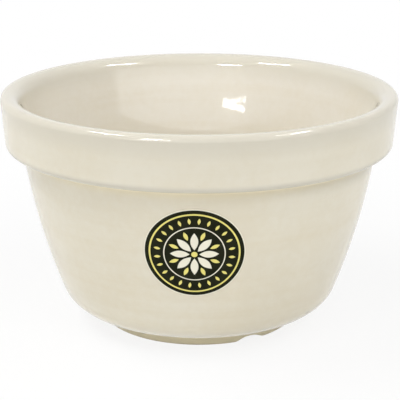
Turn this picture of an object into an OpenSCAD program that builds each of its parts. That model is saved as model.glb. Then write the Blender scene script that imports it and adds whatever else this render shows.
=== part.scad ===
// Earthenware pudding basin: one glazed piece with a thick collar round the rim, for tying down
// a cloth, a tapered bowl and a low foot ring with drain notches, and a round sticker on its wall.
// Every outline below is drawn in half section as [radius, height]. Front is -Y, the ground is Z 0.

/* [Rim and collar] */
// Outside diameter at the rim, the size that such a basin is sold by
rim_d = 160; // [130:1:190]
// Height from the ground to the top of the rim
basin_h = 95; // [80:1:120]
// Height of the collar, from its low corner to the top of the rim
collar_h = 21.4; // [14:0.2:28]
// How much smaller the collar is in radius at its low corner than at the rim
collar_draft = 1.3; // [0:0.1:2.5]
// How far the collar's low corner stands out from the wall under it
collar_step = 6.7; // [5:0.1:9]
// Slope of the collar's underside down to the wall, in degrees
collar_under = 15; // [5:1:25]
// Rounding of the rim's outer edge
rim_edge_r = 2.3; // [1.5:0.1:4]
// Width of the flat crest of the rim
rim_crest_w = 0.4; // [0.2:0.1:2]
// Rounding from the crest down into the bowl
rim_lip_r = 6; // [4:0.5:8]
// Rounding of the collar's low corner
collar_edge_r = 2.4; // [1.5:0.1:3.5]
// Hollow that the string lies in, where the collar meets the wall
collar_cove_r = 2; // [1:0.1:3]

/* [Bowl] */
// Radius of the long curve of the outer wall
belly_r = 270; // [200:5:500]
// Radius of the outer curve where the wall turns under
heel_r = 14; // [10:0.5:18]
// Thickness of the wall above the heel
wall = 5; // [4:0.1:7]
// Thickness of the base between the bowl's floor and the hollow under it
base_t = 6; // [4:0.1:8]
// Radius of the curve between the bowl's floor and its wall
floor_r = 24; // [16:0.5:30]

/* [Foot ring] */
// Outside diameter of the foot ring where it meets the ground
foot_d = 81; // [70:0.2:90]
// Width of the ring at the ground
foot_w = 5.4; // [4:0.1:8]
// Height of the bowl's underside outside the ring
foot_h = 5.8; // [4.5:0.1:8]
// How far the underside runs level past the ring before it turns up
heel_step = 3.6; // [3:0.1:8]
// Depth of the hollow inside the ring
recess_h = 4.2; // [3.6:0.1:4.4]
// Lean of the ring's two sides, in degrees
foot_lean = 8; // [0:1:15]
// Rounding of the ring's edges at the ground
foot_edge_r = 0.8; // [0.4:0.1:1.5]
// Hollow between the ring and the underside
foot_cove_r = 1.2; // [0.6:0.1:2]
// Hollow between the ring and the ceiling of the recess
recess_cove_r = 1.8; // [0.8:0.1:2.4]

/* [Drain notches] */
// How many notches let water run out from under the upturned basin
notch_n = 3; // [1:1:6]
// Direction of the first notch, in degrees to the right of the front
notch_turn = 30.5; // [0:0.5:60]
// Radius of the scallop
notch_r = 11; // [6:0.5:16]
// Height of the scallop above the ground
notch_h = 1.7; // [1:0.1:3]
// Rounding where the scallop runs out to the ground
notch_edge_r = 6; // [1:0.5:8]

/* [Label] */
// Diameter of the round sticker
label_d = 37.4; // [25:0.2:45]
// Thickness of the sticker
label_t = 0.2; // [0.1:0.05:0.5]
// Bare wall that the sticker leaves, at least, above the heel and below the collar's hollow
label_clear = 2; // [0:0.5:4]
// Where the sticker sits on the wall that is left, from 0 at the heel to 1 at the collar
label_rise = 0.78; // [0:0.01:1]
// Direction of the sticker, in degrees to the right of the front
label_turn = -1.5; // [-30:0.5:30]

/* [Hidden] */
// Steps round a curve, round the long curves of the wall and round a turned piece
curve_fn = 96;
belly_fn = 720;
turned_fn = 180;
$fn = curve_fn;
glaze = [0.87, 0.845, 0.775];
sticker = [0.13, 0.14, 0.09];
// Every straight runs this far inside the curve that it touches, so that the two always cross
lap = 0.0002;
// The same for the two long curves of the outer wall
belly_lap = 0.001;
// Past every face that a cut or a joint has to run through
past = 1;
// The notches' rounded edges run this far into the ground, so that they cross it
notch_dip = 0.05;

rim_r = rim_d / 2;
foot_r = foot_d / 2;
collar_z = basin_h - collar_h;
collar_low_r = rim_r - collar_draft;
floor_z = recess_h + base_t;

// Centres of the rim's and the collar's curves
edge_c = [rim_r - rim_edge_r, basin_h - rim_edge_r];
lip_c = [edge_c[0] - rim_crest_w, basin_h - rim_lip_r];
low_c = [collar_low_r - collar_edge_r, collar_z + collar_edge_r];

// The outer wall starts under the collar and runs into the heel's curve
wall_top = [collar_low_r - collar_step, collar_z];
heel_c = [foot_r + heel_step, foot_h + heel_r];
belly_c = meeting(wall_top, belly_r, heel_c, belly_r - heel_r);
heel_top = belly_c + belly_r * unit(heel_c - belly_c);

// The floor's curve leaves the wall its full thickness
floor_c_z = floor_z + floor_r;
floor_c = [level_r(belly_c, belly_r - wall - floor_r, floor_c_z), floor_c_z];

// Heights of the sticker's middle, at the lowest, at the highest and as it is
label_low_z = heel_top[1] + label_clear + label_d / 2;
label_high_z = collar_z - collar_cove_r - label_clear - label_d / 2;
label_z = label_low_z + label_rise * (label_high_z - label_low_z);

function unit(v) = v / norm(v);
function dot(a, b) = a[0] * b[0] + a[1] * b[1];
function from_vertical(angle) = [cos(angle), -sin(angle)];

// Radius at which a circle of radius r round c passes height z, on its outer side
function level_r(c, r, z) = c[0] + sqrt(r * r - pow(c[1] - z, 2));

// Point at distance ra from a and rb from b, on the side nearer the axis
function meeting(a, ra, b, rb) =
    let (d = norm(b - a), u = (b - a) / d, along = (ra * ra - rb * rb + d * d) / (2 * d))
    a + along * u + sqrt(ra * ra - along * along) * [u[1], -u[0]];

// Outward direction, square to the straight that touches the circle ra round a, above, and the
// circle rb round b, below. A radius is negative where its circle lies outside the straight.
function touching(a, ra, b, rb) =
    let (d = norm(a - b), u = (a - b) / d, c = (rb - ra) / d)
    c * u + sqrt(1 - c * c) * [u[1], -u[0]];

// Centre of a hollow of radius f between the level z and the straight that has the
// outward direction n and lies at distance k along it
function hollow_c(n, k, z, f) = [(k + f - n[1] * (z - f)) / n[0], z - f];

module disc(c, r, fn = curve_fn) {
    translate(c) circle(r, $fn = fn);
}

// Fills a corner up to a hollow of radius f round c that touches its two sides in the
// directions a and b, where b lies counter-clockwise from a
module cove(c, f, a, b) {
    deep = f + past;
    middle = unit(a + b);
    difference() {
        polygon([c, c + deep * a, c + (deep + f / 2) * middle, c + deep * b]);
        disc(c, f);
    }
}

// Solid outline of the bowl under the collar, up into it
module belly_outline() {
    intersection() {
        disc(belly_c, belly_r, belly_fn);
        translate([0, heel_top[1]]) square([rim_r, collar_z + past - heel_top[1]]);
    }
    disc(heel_c, heel_r + belly_lap);
    translate([0, foot_h]) square([heel_c[0], heel_top[1] + past - foot_h]);
}

module collar_outline() {
    side = touching(edge_c, rim_edge_r, low_c, collar_edge_r);
    under = [sin(collar_under), -cos(collar_under)];
    inward = [-cos(collar_under), -sin(collar_under)];
    under_start = low_c + (collar_edge_r - lap) * under;
    under_end = under_start + (under_start[0] - wall_top[0] + 2 * past) / cos(collar_under) * inward;
    disc(edge_c, rim_edge_r);
    disc(low_c, collar_edge_r);
    polygon([
        [edge_c[0], basin_h - lap],
        [0, basin_h - lap],
        [0, under_end[1]],
        under_end,
        under_start,
        low_c + (collar_edge_r - lap) * side,
        edge_c + (rim_edge_r - lap) * side
    ]);

    // The hollow's centre slides in along the underside until it touches the wall
    start = low_c + (collar_edge_r + collar_cove_r) * under;
    reach = belly_r + collar_cove_r;
    b = dot(inward, start - belly_c);
    slide = -b - sqrt(b * b - dot(start - belly_c, start - belly_c) + reach * reach);
    cove_c = start + slide * inward;
    cove(cove_c, collar_cove_r + belly_lap, -under, unit(belly_c - cove_c));
}

module foot_outline() {
    outer = from_vertical(foot_lean);
    inner = [-outer[0], outer[1]];
    outer_c = [foot_r - foot_edge_r, foot_edge_r];
    inner_c = [foot_r - foot_w + foot_edge_r, foot_edge_r];
    rise = (foot_h + past - foot_edge_r) / cos(foot_lean);
    outer_low = outer_c + (foot_edge_r - lap) * outer;
    inner_low = inner_c + (foot_edge_r - lap) * inner;
    disc(outer_c, foot_edge_r);
    disc(inner_c, foot_edge_r);
    polygon([
        [inner_c[0], lap],
        [outer_c[0], lap],
        outer_low,
        outer_low + rise * [-outer[1], outer[0]],
        inner_low + rise * [inner[1], -inner[0]],
        inner_low
    ]);

    outer_cove = hollow_c(outer, dot(outer, outer_c) + foot_edge_r, foot_h, foot_cove_r);
    cove(outer_cove, foot_cove_r + lap, [0, 1], -outer);
    inner_cove = hollow_c(inner, dot(inner, inner_c) + foot_edge_r, recess_h, recess_cove_r);
    cove(inner_cove, recess_cove_r + lap, -inner, [0, 1]);

    // The base between the hollow under it and the bowl
    translate([0, recess_h]) square([foot_r - foot_w / 2, heel_top[1] - recess_h]);
}

// The hollow that the pudding goes into
module bowl_outline() {
    side = touching(lip_c, -rim_lip_r, floor_c, floor_r);
    difference() {
        union() {
            disc(floor_c, floor_r);
            polygon([
                [-past, floor_z + lap],
                [floor_c[0], floor_z + lap],
                floor_c,
                floor_c + (floor_r - lap) * side,
                lip_c - (rim_lip_r - lap) * side,
                lip_c,
                [lip_c[0], basin_h + past],
                [-past, basin_h + past]
            ]);
        }
        disc(lip_c, rim_lip_r);
    }
}

module basin_outline() {
    difference() {
        union() {
            belly_outline();
            collar_outline();
            foot_outline();
        }
        bowl_outline();
    }
}

// The scallop's section, upright, with its middle on the notch's line
module notch_outline() {
    scallop_c = [0, notch_h - notch_r];
    edge_z = notch_edge_r - notch_dip;
    edge_x = sqrt(pow(notch_r + notch_edge_r, 2) - pow(edge_z - scallop_c[1], 2));
    below = scallop_c[1] - past;
    difference() {
        union() {
            disc(scallop_c, notch_r + lap);
            polygon([[-edge_x, below], [edge_x, below], [edge_x, edge_z], scallop_c, [-edge_x, edge_z]]);
        }
        for (x = [-edge_x, edge_x]) disc([x, edge_z], notch_edge_r);
    }
}

module notches() {
    cut_from = foot_r - foot_w - 2 * recess_cove_r;
    cut_to = foot_r + heel_step;
    for (i = [0 : notch_n - 1]) {
        rotate([0, 0, notch_turn + i * 360 / notch_n])
            translate([0, -cut_from, 0])
                rotate([90, 0, 0]) linear_extrude(cut_to - cut_from) notch_outline();
    }
}

module basin() {
    color(glaze) difference() {
        rotate_extrude($fn = turned_fn) basin_outline();
        notches();
    }
}

// A round patch of the wall's own curve, cut square to the wall
module label() {
    middle_r = level_r(belly_c, belly_r, label_z);
    lean = asin((belly_c[1] - label_z) / belly_r);
    half = label_d / 2;
    color(sticker) rotate([0, 0, label_turn]) intersection() {
        rotate_extrude($fn = turned_fn) intersection() {
            difference() {
                disc(belly_c, belly_r + label_t, belly_fn);
                disc(belly_c, belly_r, belly_fn);
            }
            translate([middle_r - half, label_z - half - past]) square([2 * half, 2 * (half + past)]);
        }
        translate([0, -middle_r, label_z])
            rotate([90 + lean, 0, 0])
                translate([0, 0, -half / 2]) cylinder(h = half, d = label_d);
    }
}

basin();
label();
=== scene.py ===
"""Looks of a glazed earthenware pudding basin with a round sticker on its wall.

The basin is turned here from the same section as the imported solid, fine enough for a wet glaze to
reflect cleanly, and its foot ring gets the same drain notches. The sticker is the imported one, with
a printed paper finish. Sections are drawn in millimetres as (radius, height); meshes, the camera
and the lamps are in metres. The front is -Y.
"""

import math

import bmesh
import bpy
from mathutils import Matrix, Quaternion, Vector


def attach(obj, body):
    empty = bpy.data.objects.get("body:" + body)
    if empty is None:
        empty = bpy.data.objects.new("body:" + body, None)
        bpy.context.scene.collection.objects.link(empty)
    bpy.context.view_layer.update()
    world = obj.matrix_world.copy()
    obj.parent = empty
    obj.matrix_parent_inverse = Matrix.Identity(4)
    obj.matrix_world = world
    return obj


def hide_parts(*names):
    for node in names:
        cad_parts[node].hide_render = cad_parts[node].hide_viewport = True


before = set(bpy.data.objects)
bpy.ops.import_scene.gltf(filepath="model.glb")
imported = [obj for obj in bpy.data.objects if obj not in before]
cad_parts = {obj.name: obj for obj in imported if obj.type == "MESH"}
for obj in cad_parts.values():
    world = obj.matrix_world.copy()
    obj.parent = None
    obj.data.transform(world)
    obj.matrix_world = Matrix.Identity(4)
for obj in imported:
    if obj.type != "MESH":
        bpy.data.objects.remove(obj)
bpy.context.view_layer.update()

MM = 0.001

# Sizes of the basin, as in the part's source, in millimetres and degrees
RIM_R = 80.0
BASIN_H = 95.0
COLLAR_H = 21.4
COLLAR_DRAFT = 1.3
COLLAR_STEP = 6.7
COLLAR_UNDER = 15.0
RIM_EDGE_R = 2.3
RIM_CREST_W = 0.4
RIM_LIP_R = 6.0
COLLAR_EDGE_R = 2.4
COLLAR_COVE_R = 2.0

BELLY_R = 270.0
HEEL_R = 14.0
WALL = 5.0
BASE_T = 6.0
FLOOR_R = 24.0

FOOT_R = 40.5
FOOT_W = 5.4
FOOT_H = 5.8
HEEL_STEP = 3.6
RECESS_H = 4.2
FOOT_LEAN = 8.0
FOOT_EDGE_R = 0.8
FOOT_COVE_R = 1.2
RECESS_COVE_R = 1.8

NOTCHES = 3
NOTCH_TURN = 30.5
NOTCH_R = 11.0
NOTCH_H = 1.7
NOTCH_EDGE_R = 6.0
NOTCH_DIP = 0.05

LABEL_R = 18.7
LABEL_Z = 47.53
LABEL_TURN = -1.5

# Steps round the turned basin, and how near two of its points are merged, in millimetres
TURNS = 360
MERGED_WITHIN = 0.0005

# Print of the sticker, in millimetres and degrees: rings as (radius, half width), and wreaths of
# petals as (number, turn of the first, radius, half length, half width)
YELLOW_RINGS = [(16.6, 0.32), (0.0, 1.15)]
YELLOW_WREATHS = [(24, 7.5, 13.9, 1.25, 0.55), (8, 22.5, 8.2, 1.9, 0.75)]
CREAM_RINGS = [(11.3, 0.2)]
CREAM_WREATHS = [(8, 0.0, 5.4, 3.6, 1.45)]
# Softness of a ring's edge, in millimetres, and of a petal's, as a share of its size
RING_BLUR = 0.07
PETAL_BLUR = 0.07
# How far in from the sticker's edge its pale cut edge begins, and how far in it is full
CUT_EDGE = (0.42, 0.22)

# The photograph's camera, in metres, for a square picture
CAMERA_AT = (0.0, -0.52546, 0.207436)
CAMERA_AIM = (0.000333, 0.0, 0.04792)
SENSOR_MM = 36.0
LENS_MM = 119.04

# Lamps: degrees to the right of the front, degrees up, metres away, width and height in metres,
# and brightness, where 1 is white. The softboxes light the clay and don't show in the glaze.
SOFTBOXES = {
    "left_softbox": (-88.0, 56.0, 1.1, 0.75, 0.35, 8.3),
    "front_left_softbox": (-32.0, 46.0, 1.2, 0.5, 0.28, 3.0),
    "front_right_softbox": (35.0, 40.0, 1.2, 0.5, 0.30, 5.8),
    "right_softbox": (80.0, 46.0, 1.2, 0.7, 0.30, 5.0),
    "low_left_softbox": (-42.0, 12.0, 1.1, 0.6, 0.24, 3.6),
    "low_right_softbox": (46.0, 10.0, 1.1, 0.6, 0.24, 2.1),
}
# The bare tubes light nothing and only show as white streaks and glints in the wet glaze
TUBES = {
    "left_tube": (-77.0, 57.0, 1.1, 0.40, 0.05, 110.0),
    "front_left_tube": (-23.0, 29.5, 1.2, 0.34, 0.075, 130.0),
    "right_tube": (77.0, 55.0, 1.1, 0.38, 0.05, 110.0),
    "tube_by_camera": (-22.5, 15.26, 0.85, 0.124, 0.0087, 30.0),
    "upper_tube_by_camera": (-31.15, 15.13, 0.85, 0.145, 0.0015, 35.0),
    "lower_tube_by_camera": (-30.7, 14.65, 0.85, 0.132, 0.0055, 30.0),
}
# How far a lamp is turned in its own plane, in degrees, with its end on the right going up
LAMP_TILTS = {
    "tube_by_camera": 3.3,
    "upper_tube_by_camera": 2.2,
    "lower_tube_by_camera": 4.7,
}
LAMPS_AIM = (0.0, 0.0, 0.07)
ROOM_LIGHT = 0.385
# The glaze mirrors a brighter band of the room in front. Its edges fade between two turns on the
# left and on the right, and between two heights at its foot and at its top, all in degrees.
SHEEN = 2.8
SHEEN_LEFT = (-75.0, -10.0)
SHEEN_RIGHT = (57.0, 64.0)
SHEEN_FOOT = (-1.0, 3.0)
SHEEN_TOP = (17.0, 24.0)

# The tabletop, in metres. What is seen of it is partly its lit top, which holds the shadow, and
# partly plain white, which takes over from the first of these distances to the second.
FLOOR_HALF = 4.0
FLOOR_WHITENS = (0.1, 0.3)
FLOOR_WHITE_SHARES = (0.86, 1.0)

# Colours, linear
CREAM = (0.745, 0.702, 0.587)
CREAM_WARM = (0.71, 0.65, 0.51)
CREAM_INSIDE = (0.75, 0.712, 0.63)
CREAM_INSIDE_WARM = (0.715, 0.665, 0.56)
POOLED_GLAZE = (0.75, 0.664, 0.44)
# Thin glaze with painted shade: darker than the body glaze, to tone down the brightly lit rim and
# collar
THIN_GLAZE_AND_SHADE = (0.612, 0.578, 0.49)
# Thin glaze with painted light: warmer and lighter than the body glaze, to brighten the dimly lit
# foot
FOOT_GLAZE_AND_LIGHT = (0.84, 0.76, 0.54)
IRON_SPECK = (0.42, 0.33, 0.2)
BARE_CLAY = (0.62, 0.5, 0.34)
INK_DARK = (0.0105, 0.0118, 0.0045)
INK_WORN = (0.017, 0.0185, 0.009)
INK_YELLOW = (0.80, 0.72, 0.22)
PAPER_CREAM = (0.84, 0.81, 0.68)
MATT_TOP = (0.82, 0.82, 0.81)
WHITE = (1.0, 1.0, 1.0)

# Glaze: shares of each tone over the body
TURNING_SHARE = 0.4
POOLED_SHARE = 0.8
FOOT_SHARE = 0.85
SPECK_SHARE = 0.15
# In millimetres: depths over which the inside tone comes in under the wall's outer face and goes
# out under the floor, and heights over which the foot tone and the bare ground ring end, from the
# top of the foot and from the ground
INSIDE_FADES = (0.5, 3.5)
FLOOR_FADES = (1.0, 3.0)
FOOT_FADES = (-0.8, 0.6)
BARE_FADES = (0.05, 0.25)
BARE_WOBBLE = 0.5
# Iron specks: cells in a metre, how far a speck reaches in its cell, and the cells that have one
SPECK_CELLS = 260.0
SPECK_SIZE = (0.03, 0.08)
SPECK_PICKED = (0.95, 0.98)
# Roughness of the glaze, with more on the dry heel, from the top of the foot up, and on bare clay
GLOSS = (0.02, 0.035)
DRY_HEEL = 0.28
DRY_HEEL_FADES = (-1.0, 5.0)
BARE_ROUGHNESS = 0.4
GLAZE_IOR = 1.47
# Depths of the relief, in millimetres
WAVE_DEPTH = 0.04
DIMPLE_DEPTH = 0.0012
PAPER_DEPTH = 0.006
# The sticker's sheen
PAPER_ROUGHNESS = (0.36, 0.48)
PAPER_IOR = 1.45
PAPER_SHINE = 0.06


# Section of the basin

UP = Vector((0.0, 1.0))
DOWN = Vector((0.0, -1.0))


def unit(v):
    return v / v.length


def direction(angle):
    """Unit vector at an angle in degrees from the outward level, turning up."""
    return Vector((math.cos(math.radians(angle)), math.sin(math.radians(angle))))


def right_of(v):
    return Vector((v.y, -v.x))


def level_radius(centre, radius, height):
    """Radius at which a circle round a centre passes a height, on its outer side."""
    return centre.x + math.sqrt(radius ** 2 - (centre.y - height) ** 2)


def meeting(a, ra, b, rb):
    """Point at distance ra from a and rb from b, on the side nearer the axis."""
    apart = (b - a).length
    u = (b - a) / apart
    along = (ra ** 2 - rb ** 2 + apart ** 2) / (2 * apart)
    return a + along * u + math.sqrt(ra ** 2 - along ** 2) * right_of(u)


def touching(a, ra, b, rb):
    """Outward direction, square to the straight that touches circle a, above, and circle b."""
    apart = (a - b).length
    u = (a - b) / apart
    c = (rb - ra) / apart
    return c * u + math.sqrt(1 - c * c) * right_of(u)


def hollow_centre(normal, distance, radius, level):
    """Centre of a hollow between a level and the straight with this normal and distance."""
    height = level - radius
    return Vector(((distance + radius - normal.y * height) / normal.x, height))


EDGE_C = Vector((RIM_R - RIM_EDGE_R, BASIN_H - RIM_EDGE_R))
LIP_C = Vector((EDGE_C.x - RIM_CREST_W, BASIN_H - RIM_LIP_R))
LOW_C = Vector((RIM_R - COLLAR_DRAFT - COLLAR_EDGE_R, BASIN_H - COLLAR_H + COLLAR_EDGE_R))
WALL_TOP = Vector((RIM_R - COLLAR_DRAFT - COLLAR_STEP, BASIN_H - COLLAR_H))
HEEL_C = Vector((FOOT_R + HEEL_STEP, FOOT_H + HEEL_R))
BELLY_C = meeting(WALL_TOP, BELLY_R, HEEL_C, BELLY_R - HEEL_R)
FLOOR_Z = RECESS_H + BASE_T
FLOOR_C = Vector((level_radius(BELLY_C, BELLY_R - WALL - FLOOR_R, FLOOR_Z + FLOOR_R),
                  FLOOR_Z + FLOOR_R))
FOOT_OUTER_C = Vector((FOOT_R - FOOT_EDGE_R, FOOT_EDGE_R))
FOOT_INNER_C = Vector((FOOT_R - FOOT_W + FOOT_EDGE_R, FOOT_EDGE_R))

# Rings round which the glaze lies thick, or thin with painted shade: radius, height, reach and
# strength
POOLED_RINGS = [
    (WALL_TOP.x + 0.6, WALL_TOP.y - 0.2, 5.0, 1.0),
    (FOOT_R + 0.9, FOOT_H - 0.4, 2.6, 1.0),
    (FOOT_R - FOOT_W - 0.9, RECESS_H - 0.2, 2.6, 1.0),
    (FLOOR_C.x + 6, FLOOR_Z + 1, 9.0, 0.4),
]
# Where the glaze is thin and painted shade darkens the rim, the collar's face and its lower corner
THIN_AND_SHADED_RINGS = [
    (EDGE_C.x - 1.5, BASIN_H, 15.0, 1.0),
    (RIM_R, BASIN_H - COLLAR_H / 2, 14.0, 0.22),
    (LOW_C.x + 2.0, LOW_C.y - 1.4, 2.6, 1.0),
]


class Section:
    """Half section drawn with one moving end, like a profile cut with a template."""

    def __init__(self, bm, start):
        self.bm = bm
        self.end = bm.verts.new((start[0], 0.0, start[1]))

    def here(self):
        return Vector((self.end.co.x, self.end.co.z))

    def line(self, point, parts=1):
        """Draws the end straight to a point, in a number of equal parts."""
        start = self.here()
        for i in range(1, parts + 1):
            made = bmesh.ops.extrude_vert_indiv(self.bm, verts=[self.end])
            self.end = made["verts"][0]
            at = start.lerp(Vector(point), i / parts)
            self.end.co = (at.x, 0.0, at.y)

    def arc(self, centre, towards, steps):
        """Turns the end round a centre until it lies in the direction towards."""
        out = self.here() - centre
        turn = math.atan2(out.x * towards.y - out.y * towards.x, out.dot(towards))
        made = bmesh.ops.spin(self.bm, geom=[self.end], cent=(centre.x, 0.0, centre.y),
                              axis=(0.0, -1.0, 0.0), angle=turn, steps=steps,
                              use_merge=False, use_duplicate=False)
        self.end = [g for g in made["geom_last"] if isinstance(g, bmesh.types.BMVert)][0]


def draw_bowl(section):
    """From the middle of the floor up the inside to the rim."""
    wall = touching(LIP_C, -RIM_LIP_R, FLOOR_C, FLOOR_R)
    section.line((FLOOR_C.x, FLOOR_Z), parts=9)
    section.arc(FLOOR_C, wall, steps=22)
    section.line(LIP_C - RIM_LIP_R * wall, parts=22)
    section.arc(LIP_C, UP, steps=14)


def draw_collar(section):
    """Over the rim and down the collar to the wall under it."""
    face = touching(EDGE_C, RIM_EDGE_R, LOW_C, COLLAR_EDGE_R)
    under = direction(COLLAR_UNDER - 90)
    inward = right_of(under)
    section.line((EDGE_C.x, BASIN_H))
    section.arc(EDGE_C, face, steps=12)
    section.line(LOW_C + COLLAR_EDGE_R * face, parts=10)
    section.arc(LOW_C, under, steps=10)

    # The hollow's centre slides in along the underside until it touches the wall
    start = LOW_C + (COLLAR_EDGE_R + COLLAR_COVE_R) * under
    b = inward.dot(start - BELLY_C)
    away = (start - BELLY_C).length_squared - (BELLY_R + COLLAR_COVE_R) ** 2
    cove_c = start + (-b - math.sqrt(b * b - away)) * inward
    section.line(cove_c - COLLAR_COVE_R * under, parts=3)
    section.arc(cove_c, unit(BELLY_C - cove_c), steps=10)


def draw_wall(section):
    """Down the outer wall and under the heel."""
    section.arc(BELLY_C, unit(HEEL_C - BELLY_C), steps=44)
    section.arc(HEEL_C, DOWN, steps=14)


def draw_foot(section):
    """Round the foot ring and across the hollow inside it."""
    outer = direction(-FOOT_LEAN)
    inner = Vector((-outer.x, outer.y))
    outer_k = outer.dot(FOOT_OUTER_C) + FOOT_EDGE_R
    inner_k = inner.dot(FOOT_INNER_C) + FOOT_EDGE_R
    outer_cove = hollow_centre(outer, outer_k, FOOT_COVE_R, FOOT_H)
    inner_cove = hollow_centre(inner, inner_k, RECESS_COVE_R, RECESS_H)
    section.line((outer_cove.x, FOOT_H), parts=2)
    section.arc(outer_cove, -outer, steps=6)
    section.line(FOOT_OUTER_C + FOOT_EDGE_R * outer, parts=3)
    section.arc(FOOT_OUTER_C, DOWN, steps=5)
    section.line((FOOT_INNER_C.x, 0.0), parts=5)
    section.arc(FOOT_INNER_C, inner, steps=5)
    section.line(inner_cove - RECESS_COVE_R * inner)
    section.arc(inner_cove, UP, steps=7)
    section.line((0.0, RECESS_H), parts=8)


# Foot notches

def scallop_height(aside):
    """Height of a drain notch above the ground at this distance from its middle line."""
    low = NOTCH_H - NOTCH_R
    edge_z = NOTCH_EDGE_R - NOTCH_DIP
    edge_x = math.sqrt((NOTCH_R + NOTCH_EDGE_R) ** 2 - (edge_z - low) ** 2)
    joint_x = edge_x * NOTCH_R / (NOTCH_R + NOTCH_EDGE_R)
    aside = abs(aside)
    if aside <= joint_x:
        return low + math.sqrt(NOTCH_R ** 2 - aside ** 2)
    if aside < edge_x:
        return max(0.0, edge_z - math.sqrt(NOTCH_EDGE_R ** 2 - (edge_x - aside) ** 2))
    return 0.0


def press_notches(bm):
    """Presses the drain notches up into the foot ring, as a finger would in soft clay."""
    ring_middle = FOOT_R - FOOT_W / 2
    inside = FOOT_R - FOOT_W - 3 * RECESS_COVE_R
    outside = FOOT_R + HEEL_STEP
    for v in bm.verts:
        radius = math.hypot(v.co.x, v.co.y)
        top = FOOT_H if radius > ring_middle else RECESS_H
        if not inside < radius < outside or v.co.z >= top:
            continue
        for i in range(NOTCHES):
            turn = math.radians(NOTCH_TURN + i * 360 / NOTCHES)
            along = v.co.x * math.sin(turn) - v.co.y * math.cos(turn)
            aside = v.co.x * math.cos(turn) + v.co.y * math.sin(turn)
            if along > 0:
                lift = scallop_height(aside)
                v.co.z = lift + v.co.z * (1 - lift / top)


def turn_basin():
    """The whole glazed basin as one closed turned piece."""
    bm = bmesh.new()
    section = Section(bm, (0.0, FLOOR_Z))
    draw_bowl(section)
    draw_collar(section)
    draw_wall(section)
    draw_foot(section)
    bmesh.ops.spin(bm, geom=bm.verts[:] + bm.edges[:], cent=(0, 0, 0), axis=(0, 0, 1),
                   angle=2 * math.pi, steps=TURNS, use_merge=True, use_duplicate=False)
    bmesh.ops.remove_doubles(bm, verts=bm.verts, dist=MERGED_WITHIN)
    press_notches(bm)
    bmesh.ops.recalc_face_normals(bm, faces=bm.faces)
    bmesh.ops.scale(bm, vec=(MM, MM, MM), verts=bm.verts)
    mesh = bpy.data.meshes.new("glazed_basin")
    bm.to_mesh(mesh)
    bm.free()
    mesh.shade_smooth()
    basin = bpy.data.objects.new("glazed_basin", mesh)
    bpy.context.collection.objects.link(basin)
    return basin


# Node helpers

def put(tree, kind, values=None, **settings):
    """Adds a node. Values fill its inputs, by name or number, with numbers or with sockets."""
    made = tree.nodes.new(kind)
    for key, value in settings.items():
        setattr(made, key, value)
    for key, value in (values or {}).items():
        if isinstance(value, bpy.types.NodeSocket):
            tree.links.new(value, made.inputs[key])
        elif isinstance(value, tuple) and made.inputs[key].type == "RGBA":
            made.inputs[key].default_value = (*value, 1.0)
        else:
            made.inputs[key].default_value = value
    return made


def sums(tree, operation, a, b=0.0, c=0.0, clamp=False):
    """One step of arithmetic. Only MULTIPLY_ADD, which is a times b plus c, looks at c."""
    made = put(tree, "ShaderNodeMath", {0: a, 1: b, 2: c}, operation=operation, use_clamp=clamp)
    return made.outputs[0]


def ramp(tree, value, low, high, to_low=0.0, to_high=1.0):
    """Runs smoothly from to_low to to_high while a value goes from low to high."""
    made = put(tree, "ShaderNodeMapRange",
               {"Value": value, "From Min": low, "From Max": high,
                "To Min": to_low, "To Max": to_high},
               interpolation_type="SMOOTHSTEP")
    return made.outputs["Result"]


def blend(tree, factor, a, b):
    """Colour a where the factor is 0 and colour b where it is 1."""
    # A Mix node's colours are its inputs 6 and 7 and its output 2
    return put(tree, "ShaderNodeMix", {0: factor, 6: a, 7: b}, data_type="RGBA").outputs[2]


def length(tree, x, y):
    """Distance from the origin of a point with these two coordinates."""
    flat = put(tree, "ShaderNodeCombineXYZ", {"X": x, "Y": y}).outputs[0]
    return put(tree, "ShaderNodeVectorMath", {0: flat}, operation="LENGTH").outputs["Value"]


def largest(tree, masks):
    """The largest of several masks at each point."""
    result = masks[0]
    for mask in masks[1:]:
        result = sums(tree, "MAXIMUM", result, mask)
    return result


def new_group(name, inputs, outputs):
    """An empty node group: inputs and outputs are lists of (name, socket type, default)."""
    tree = bpy.data.node_groups.new(name, "ShaderNodeTree")
    for label, kind, default in inputs:
        made = tree.interface.new_socket(name=label, in_out="INPUT", socket_type=kind)
        if default is not None:
            made.default_value = default
    for label, kind in outputs:
        tree.interface.new_socket(name=label, in_out="OUTPUT", socket_type=kind)
    return tree, tree.nodes.new("NodeGroupInput").outputs, tree.nodes.new("NodeGroupOutput").inputs


def use_group(tree, group, values):
    return put(tree, "ShaderNodeGroup", values, node_tree=group).outputs


def ring_group():
    """How near a point lies to a ring round the upright axis: 1 on the ring, 0 past its reach."""
    tree, given, out = new_group(
        "near_ring",
        [("Point", "NodeSocketVector", None), ("Ring radius", "NodeSocketFloat", 0.07),
         ("Ring height", "NodeSocketFloat", 0.07), ("Reach", "NodeSocketFloat", 0.004)],
        [("Near", "NodeSocketFloat")])
    split = put(tree, "ShaderNodeSeparateXYZ", {0: given["Point"]}).outputs
    radius = length(tree, split["X"], split["Y"])
    away = length(tree, sums(tree, "SUBTRACT", radius, given["Ring radius"]),
                  sums(tree, "SUBTRACT", split["Z"], given["Ring height"]))
    tree.links.new(ramp(tree, away, 0.0, given["Reach"], 1.0, 0.0), out["Near"])
    return tree


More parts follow.
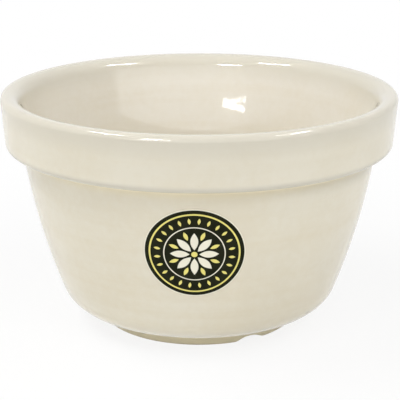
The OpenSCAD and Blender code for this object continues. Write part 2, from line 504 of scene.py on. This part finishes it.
def unevenness_group():
    """Slow unevenness of a tone over a surface, with a little fine grain in it."""
    tree, given, out = new_group(
        "uneven_tone",
        [("Point", "NodeSocketVector", None), ("Patch size", "NodeSocketFloat", 0.03),
         ("Grain", "NodeSocketFloat", 0.2)],
        [("Tone", "NodeSocketFloat")])
    scale = sums(tree, "DIVIDE", 1.0, given["Patch size"])
    patches = put(tree, "ShaderNodeTexNoise",
                  {"Vector": given["Point"], "Scale": scale, "Detail": 3.0, "Roughness": 0.55})
    fine_scale = sums(tree, "MULTIPLY", scale, 14.0)
    grain = put(tree, "ShaderNodeTexNoise",
                {"Vector": given["Point"], "Scale": fine_scale, "Detail": 2.0, "Roughness": 0.6})
    even = ramp(tree, patches.outputs["Fac"], 0.32, 0.68)
    grain_off = sums(tree, "SUBTRACT", grain.outputs["Fac"], 0.5)
    tone = sums(tree, "MULTIPLY_ADD", grain_off, given["Grain"], even, clamp=True)
    tree.links.new(tone, out["Tone"])
    return tree


def line_group():
    """A printed line: 1 where a distance lies within half a width of a middle, soft at its edge."""
    tree, given, out = new_group(
        "printed_line",
        [("Distance", "NodeSocketFloat", 0.0), ("Middle", "NodeSocketFloat", 0.0),
         ("Half width", "NodeSocketFloat", 0.0003), ("Blur", "NodeSocketFloat", 0.00008)],
        [("Ink", "NodeSocketFloat")])
    off = sums(tree, "ABSOLUTE", sums(tree, "SUBTRACT", given["Distance"], given["Middle"]))
    past = sums(tree, "SUBTRACT", off, given["Half width"])
    inside = sums(tree, "MULTIPLY", given["Blur"], -1.0)
    tree.links.new(ramp(tree, past, inside, given["Blur"], 1.0, 0.0), out["Ink"])
    return tree


def petal_group():
    """A ring of printed petals, by their number, its middle radius and half their size each way."""
    tree, given, out = new_group(
        "petal_ring",
        [("Radius", "NodeSocketFloat", 0.0), ("Angle", "NodeSocketFloat", 0.0),
         ("Number", "NodeSocketFloat", 8.0), ("Start", "NodeSocketFloat", 0.0),
         ("Ring", "NodeSocketFloat", 0.005), ("Half length", "NodeSocketFloat", 0.003),
         ("Half width", "NodeSocketFloat", 0.0012), ("Blur", "NodeSocketFloat", 0.06)],
        [("Ink", "NodeSocketFloat")])
    share = sums(tree, "DIVIDE", 2 * math.pi, given["Number"])
    turned = sums(tree, "SUBTRACT", given["Angle"], given["Start"])
    steps = sums(tree, "ROUND", sums(tree, "DIVIDE", turned, share))
    from_middle = sums(tree, "SUBTRACT", turned, sums(tree, "MULTIPLY", steps, share))
    aside = sums(tree, "MULTIPLY", sums(tree, "SINE", from_middle), given["Radius"])
    ahead = sums(tree, "SUBTRACT",
                 sums(tree, "MULTIPLY", sums(tree, "COSINE", from_middle), given["Radius"]),
                 given["Ring"])
    wide = sums(tree, "DIVIDE", aside, given["Half width"])
    long = sums(tree, "DIVIDE", ahead, given["Half length"])
    # A petal is the overlap of two circles: its width runs out as the square of its length
    edge = sums(tree, "ADD", sums(tree, "ABSOLUTE", wide), sums(tree, "MULTIPLY", long, long))
    low = sums(tree, "SUBTRACT", 1.0, given["Blur"])
    high = sums(tree, "ADD", 1.0, given["Blur"])
    tree.links.new(ramp(tree, edge, low, high, 1.0, 0.0), out["Ink"])
    return tree


def new_material(name):
    made = bpy.data.materials.new(name)
    made.use_nodes = True
    made.node_tree.nodes.clear()
    return made, made.node_tree


def finish_material(tree, values):
    shader = put(tree, "ShaderNodeBsdfPrincipled", values)
    put(tree, "ShaderNodeOutputMaterial", {"Surface": shader.outputs[0]})


# Materials

def cream_glaze(near_ring, uneven_tone):
    """Cream glaze: pooled in hollows, thin with painted shade on edges, with painted light on the
    foot, wiped off where it stands.
    """
    material, tree = new_material("cream_glaze")
    point = put(tree, "ShaderNodeTexCoord").outputs["Object"]

    def near_rings(rings):
        masks = []
        for radius, height, reach, strength in rings:
            near = use_group(tree, near_ring, {"Point": point, "Ring radius": radius * MM,
                                               "Ring height": height * MM,
                                               "Reach": reach * MM})[0]
            masks.append(sums(tree, "MULTIPLY", near, strength))
        return largest(tree, masks)

    # Slow patches of tone, and faint lines round the basin from the turning
    tone = use_group(tree, uneven_tone, {"Point": point, "Patch size": 0.04, "Grain": 1.6})[0]
    turned = put(tree, "ShaderNodeMapping", {"Vector": point, "Scale": (6.0, 6.0, 170.0)})
    lines = put(tree, "ShaderNodeTexNoise",
                {"Vector": turned.outputs[0], "Scale": 1.0, "Detail": 3.0, "Roughness": 0.6})
    streaks = ramp(tree, lines.outputs["Fac"], 0.4, 0.7)
    patches = sums(tree, "MULTIPLY", tone, 1 - TURNING_SHARE)
    tone = sums(tree, "MULTIPLY_ADD", streaks, TURNING_SHARE, patches)

    # The inside, nearer the centre of the wall's long curve, is coloured a little whiter
    split = put(tree, "ShaderNodeSeparateXYZ", {0: point}).outputs
    height = split["Z"]
    radius = length(tree, split["X"], split["Y"])
    away = length(tree, sums(tree, "SUBTRACT", radius, BELLY_C.x * MM),
                  sums(tree, "SUBTRACT", height, BELLY_C.y * MM))
    shallow, deep = INSIDE_FADES
    in_wall = ramp(tree, away, (BELLY_R - deep) * MM, (BELLY_R - shallow) * MM, 1.0, 0.0)
    shallow, deep = FLOOR_FADES
    over_floor = ramp(tree, height, (FLOOR_Z - deep) * MM, (FLOOR_Z - shallow) * MM)
    inside = sums(tree, "MULTIPLY", in_wall, over_floor)
    body = blend(tree, inside, blend(tree, tone, CREAM, CREAM_WARM),
                 blend(tree, tone, CREAM_INSIDE, CREAM_INSIDE_WARM))

    pooled = sums(tree, "MULTIPLY", near_rings(POOLED_RINGS), POOLED_SHARE)
    body = blend(tree, pooled, body, POOLED_GLAZE)
    # Thin glaze on the edges, with painted shade: the rim, the collar's face and its lower corner
    # are coloured darker to tone down how brightly they are lit
    body = blend(tree, near_rings(THIN_AND_SHADED_RINGS), body, THIN_GLAZE_AND_SHADE)

    # The foot took less glaze, so that the warm clay shows through, and it is coloured lighter as
    # painted light for the dimly lit foot near the tabletop
    low, high = FOOT_FADES
    on_foot = ramp(tree, height, (FOOT_H + low) * MM, (FOOT_H + high) * MM, 1.0, 0.0)
    body = blend(tree, sums(tree, "MULTIPLY", on_foot, FOOT_SHARE), body, FOOT_GLAZE_AND_LIGHT)

    # Iron specks: the middles of a few cells of a fine cell pattern
    cells = put(tree, "ShaderNodeTexVoronoi", {"Vector": point, "Scale": SPECK_CELLS})
    picked = put(tree, "ShaderNodeSeparateColor", {0: cells.outputs["Color"]}).outputs[0]
    speck = sums(tree, "MULTIPLY", ramp(tree, cells.outputs["Distance"], *SPECK_SIZE, 1.0, 0.0),
                 ramp(tree, picked, *SPECK_PICKED))
    body = blend(tree, sums(tree, "MULTIPLY", speck, SPECK_SHARE), body, IRON_SPECK)

    # The ground ring is wiped bare, with an uneven edge
    wobble = put(tree, "ShaderNodeTexNoise", {"Vector": point, "Scale": 300.0, "Detail": 3.0})
    edge_z = sums(tree, "MULTIPLY_ADD", wobble.outputs["Fac"], -BARE_WOBBLE * MM, height)
    low, high = BARE_FADES
    bare = ramp(tree, edge_z, low * MM, high * MM, 1.0, 0.0)
    body = blend(tree, bare, body, BARE_CLAY)

    # The heel took its glaze thinly and is drier
    gloss = put(tree, "ShaderNodeTexNoise", {"Vector": point, "Scale": 90.0, "Detail": 2.0})
    glazed = ramp(tree, gloss.outputs["Fac"], 0.35, 0.65, *GLOSS)
    low, high = DRY_HEEL_FADES
    dry = ramp(tree, height, (FOOT_H + low) * MM, (FOOT_H + high) * MM, DRY_HEEL, 0.0)
    roughness = sums(tree, "MULTIPLY_ADD", bare, BARE_ROUGHNESS,
                     sums(tree, "ADD", glazed, dry))

    # The glaze lies in slow waves, with a fine dimpling over them
    waves = put(tree, "ShaderNodeTexNoise",
                {"Vector": point, "Scale": 48.0, "Detail": 1.0, "Roughness": 0.5})
    slow = put(tree, "ShaderNodeBump", {"Height": waves.outputs["Fac"], "Strength": 1.0,
                                        "Distance": WAVE_DEPTH * MM})
    dimples = put(tree, "ShaderNodeTexNoise", {"Vector": point, "Scale": 700.0, "Detail": 2.0})
    fine = put(tree, "ShaderNodeBump", {"Height": dimples.outputs["Fac"], "Strength": 1.0,
                                        "Distance": DIMPLE_DEPTH * MM,
                                        "Normal": slow.outputs["Normal"]})
    finish_material(tree, {"Base Color": body, "Roughness": roughness, "IOR": GLAZE_IOR,
                           "Normal": fine.outputs["Normal"]})
    return material


def printed_sticker(uneven_tone, printed_line, petal_ring):
    """Dark sticker with a yellow ring, a rosette and a border of small petals, and a paper edge."""
    material, tree = new_material("printed_sticker")
    wall = math.asin((BELLY_C.y - LABEL_Z) / BELLY_R)
    out = level_radius(BELLY_C, BELLY_R, LABEL_Z) * MM
    turn = math.radians(LABEL_TURN)
    middle = (out * math.sin(turn), -out * math.cos(turn), LABEL_Z * MM)
    point = put(tree, "ShaderNodeTexCoord").outputs["Object"]
    flat = put(tree, "ShaderNodeMapping",
               {"Vector": point, "Location": middle, "Rotation": (wall, 0.0, turn)},
               vector_type="TEXTURE").outputs[0]
    split = put(tree, "ShaderNodeSeparateXYZ", {0: flat}).outputs
    radius = length(tree, split["X"], split["Z"])
    angle = sums(tree, "ARCTAN2", split["X"], split["Z"])

    def motifs(rings, wreaths):
        masks = []
        for at, half_width in rings:
            masks.append(use_group(tree, printed_line,
                                   {"Distance": radius, "Middle": at * MM,
                                    "Half width": half_width * MM, "Blur": RING_BLUR * MM})[0])
        for number, start, ring, half_length, half_width in wreaths:
            masks.append(use_group(tree, petal_ring,
                                   {"Radius": radius, "Angle": angle, "Number": float(number),
                                    "Start": math.radians(start), "Ring": ring * MM,
                                    "Half length": half_length * MM,
                                    "Half width": half_width * MM, "Blur": PETAL_BLUR})[0])
        return largest(tree, masks)

    tone = use_group(tree, uneven_tone, {"Point": flat, "Patch size": 0.006, "Grain": 0.6})[0]
    ink = blend(tree, tone, INK_DARK, INK_WORN)
    printed = blend(tree, motifs(CREAM_RINGS, CREAM_WREATHS), ink, PAPER_CREAM)
    printed = blend(tree, motifs(YELLOW_RINGS, YELLOW_WREATHS), printed, INK_YELLOW)
    inner, outer = CUT_EDGE
    cut_edge = ramp(tree, radius, (LABEL_R - inner) * MM, (LABEL_R - outer) * MM)
    printed = blend(tree, cut_edge, printed, PAPER_CREAM)

    fibres = put(tree, "ShaderNodeTexNoise", {"Vector": flat, "Scale": 1500.0, "Detail": 3.0})
    creases = put(tree, "ShaderNodeTexNoise", {"Vector": flat, "Scale": 120.0, "Detail": 2.0})
    height = sums(tree, "MULTIPLY_ADD", creases.outputs["Fac"], 4.0, fibres.outputs["Fac"])
    bump = put(tree, "ShaderNodeBump", {"Height": height, "Strength": 1.0,
                                        "Distance": PAPER_DEPTH * MM})
    roughness = ramp(tree, fibres.outputs["Fac"], 0.3, 0.7, *PAPER_ROUGHNESS)
    finish_material(tree, {"Base Color": printed, "Roughness": roughness, "IOR": PAPER_IOR,
                           "Specular IOR Level": PAPER_SHINE,
                           "Normal": bump.outputs["Normal"]})
    return material


# Studio

def is_seen(tree):
    """1 for what the camera sees, straight or in a reflection."""
    rays = put(tree, "ShaderNodeLightPath").outputs
    return largest(tree, [rays["Is Camera Ray"], rays["Is Glossy Ray"],
                          rays["Is Transmission Ray"]])


def make_floor():
    """Pale tabletop that looks white, more so away from the basin, and keeps its soft shadow."""
    bm = bmesh.new()
    bmesh.ops.create_grid(bm, x_segments=1, y_segments=1, size=FLOOR_HALF)
    mesh = bpy.data.meshes.new("tabletop")
    bm.to_mesh(mesh)
    bm.free()
    floor = bpy.data.objects.new("tabletop", mesh)
    bpy.context.collection.objects.link(floor)
    material, tree = new_material("white_tabletop")
    matt = put(tree, "ShaderNodeBsdfDiffuse", {"Color": MATT_TOP})
    glow = put(tree, "ShaderNodeEmission", {"Color": WHITE, "Strength": 1.0})
    point = put(tree, "ShaderNodeTexCoord").outputs["Object"]
    away = put(tree, "ShaderNodeVectorMath", {0: point}, operation="LENGTH").outputs["Value"]
    white = ramp(tree, away, *FLOOR_WHITENS, *FLOOR_WHITE_SHARES)
    share = sums(tree, "MULTIPLY", is_seen(tree), white)
    mixed = put(tree, "ShaderNodeMixShader", {0: share, 1: matt.outputs[0], 2: glow.outputs[0]})
    put(tree, "ShaderNodeOutputMaterial", {"Surface": mixed.outputs[0]})
    mesh.materials.append(material)


def make_room():
    """White surroundings: plain white where they are seen, soft light everywhere else, and a
    brighter band in front for the glaze to mirror."""
    world = bpy.data.worlds.new("white_room")
    world.use_nodes = True
    tree = world.node_tree
    tree.nodes.clear()
    towards = put(tree, "ShaderNodeTexCoord").outputs["Generated"]
    split = put(tree, "ShaderNodeSeparateXYZ", {0: towards}).outputs
    to_front = sums(tree, "MULTIPLY", split["Y"], -1.0)
    turn = sums(tree, "DEGREES", sums(tree, "ARCTAN2", split["X"], to_front))
    rise = sums(tree, "DEGREES", sums(tree, "ARCSINE", split["Z"]))
    edges = [ramp(tree, turn, *SHEEN_LEFT), ramp(tree, turn, *SHEEN_RIGHT, 1.0, 0.0),
             ramp(tree, rise, *SHEEN_FOOT), ramp(tree, rise, *SHEEN_TOP, 1.0, 0.0)]
    band = put(tree, "ShaderNodeLightPath").outputs["Is Glossy Ray"]
    for edge in edges:
        band = sums(tree, "MULTIPLY", band, edge)
    seen_strength = sums(tree, "MULTIPLY_ADD", band, SHEEN - 1.0, 1.0)
    light = put(tree, "ShaderNodeBackground", {"Color": WHITE, "Strength": ROOM_LIGHT})
    seen = put(tree, "ShaderNodeBackground", {"Color": WHITE, "Strength": seen_strength})
    mixed = put(tree, "ShaderNodeMixShader",
                {0: is_seen(tree), 1: light.outputs[0], 2: seen.outputs[0]})
    put(tree, "ShaderNodeOutputWorld", {"Surface": mixed.outputs[0]})
    bpy.context.scene.world = world


def hang_lamps(lamps, lights_clay):
    """Rectangular lamps round the basin, each with its face turned to it."""
    aim = Vector(LAMPS_AIM)
    for name, (right, up, away, width, height, brightness) in lamps.items():
        level = math.cos(math.radians(up))
        towards = Vector((level * math.sin(math.radians(right)),
                          -level * math.cos(math.radians(right)),
                          math.sin(math.radians(up))))
        data = bpy.data.lights.new(name, "AREA")
        data.shape = "RECTANGLE"
        data.size = width
        data.size_y = height
        # Watts that give a rectangle this brightness
        data.energy = brightness * math.pi * width * height
        lamp = bpy.data.objects.new(name, data)
        lamp.location = aim + away * towards
        tilt = Quaternion((0.0, 0.0, 1.0), math.radians(LAMP_TILTS.get(name, 0.0)))
        lamp.rotation_euler = ((-towards).to_track_quat("-Z", "Y") @ tilt).to_euler()
        lamp.visible_camera = False
        lamp.visible_diffuse = lights_clay
        lamp.visible_glossy = not lights_clay
        bpy.context.collection.objects.link(lamp)


def place_camera():
    data = bpy.data.cameras.new("camera")
    data.sensor_fit = "HORIZONTAL"
    data.sensor_width = SENSOR_MM
    data.lens = LENS_MM
    camera = bpy.data.objects.new("camera", data)
    camera.location = CAMERA_AT
    towards = Vector(CAMERA_AIM) - Vector(CAMERA_AT)
    camera.rotation_euler = towards.to_track_quat("-Z", "Y").to_euler()
    bpy.context.collection.objects.link(camera)
    bpy.context.scene.camera = camera


def dress(piece, material):
    piece.data.materials.clear()
    piece.data.materials.append(material)


near_ring = ring_group()
uneven_tone = unevenness_group()
printed_line = line_group()
petal_ring = petal_group()

basin = turn_basin()
dress(basin, cream_glaze(near_ring, uneven_tone))
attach(basin, "root")
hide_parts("basin")

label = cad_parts["label"]
label.material_slots[0].material = printed_sticker(uneven_tone, printed_line, petal_ring)

make_floor()
make_room()
hang_lamps(SOFTBOXES, lights_clay=True)
hang_lamps(TUBES, lights_clay=False)
place_camera()
bpy.context.scene.view_settings.view_transform = "Standard"
